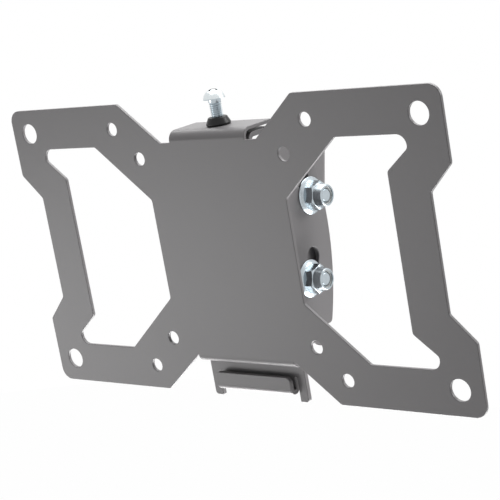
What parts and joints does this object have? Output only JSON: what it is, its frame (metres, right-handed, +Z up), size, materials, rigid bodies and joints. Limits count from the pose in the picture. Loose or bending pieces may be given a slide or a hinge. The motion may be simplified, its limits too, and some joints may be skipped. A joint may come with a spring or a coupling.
{
  "type": "tilting tv wall bracket",
  "caption": "Tilting wall bracket with a windowed screen plate hung on a channel head whose slotted ears tip forward on bolts in a wall channel.",
  "frame": {"origin": "centre of the wall bracket's back, on the wall", "axes": "+X to the viewer's right, +Y into the wall, +Z up; the screen side faces -Y"},
  "size_m": [0.22, 0.0489, 0.1217],
  "materials": {
    "bracket_steel": "satin grey powder coat",
    "zinc_plate": "bright zinc plate",
    "black_rubber": "matt moulded rubber",
    "nylon": "natural nylon"
  },
  "bodies": {
    "wall": {"wall_bracket": "bracket_steel", "carriage_bolt_upper_right": "zinc_plate", "carriage_bolt_upper_left": "zinc_plate", "carriage_bolt_lower_right": "zinc_plate", "carriage_bolt_lower_left": "zinc_plate", "friction_washer_upper_right": "nylon", "friction_washer_upper_left": "nylon", "friction_washer_lower_right": "nylon", "friction_washer_lower_left": "nylon", "flange_nut_upper_right": "zinc_plate", "flange_nut_upper_left": "zinc_plate", "flange_nut_lower_right": "zinc_plate", "flange_nut_lower_left": "zinc_plate", "nut_insert_upper_right": "nylon", "nut_insert_upper_left": "nylon", "nut_insert_lower_right": "nylon", "nut_insert_lower_left": "nylon"},
    "head": {"tilt_head": "bracket_steel", "screen_plate": "bracket_steel", "screw_grommet": "black_rubber"},
    "screw": {"lock_screw": "zinc_plate"}
  },
  "joints": [
    {"name": "head_tilt", "type": "hinge", "parent": "wall", "child": "head", "pos_m": [0, -0.04703, -0.00169], "axis": [-1, 0, 0], "range_deg": [0, 15]},
    {"name": "lock_screw_down", "type": "slide", "parent": "head", "child": "screw", "axis": [0, 0.2588, -0.9659], "range_m": [0, 0.0069]}
  ]
}
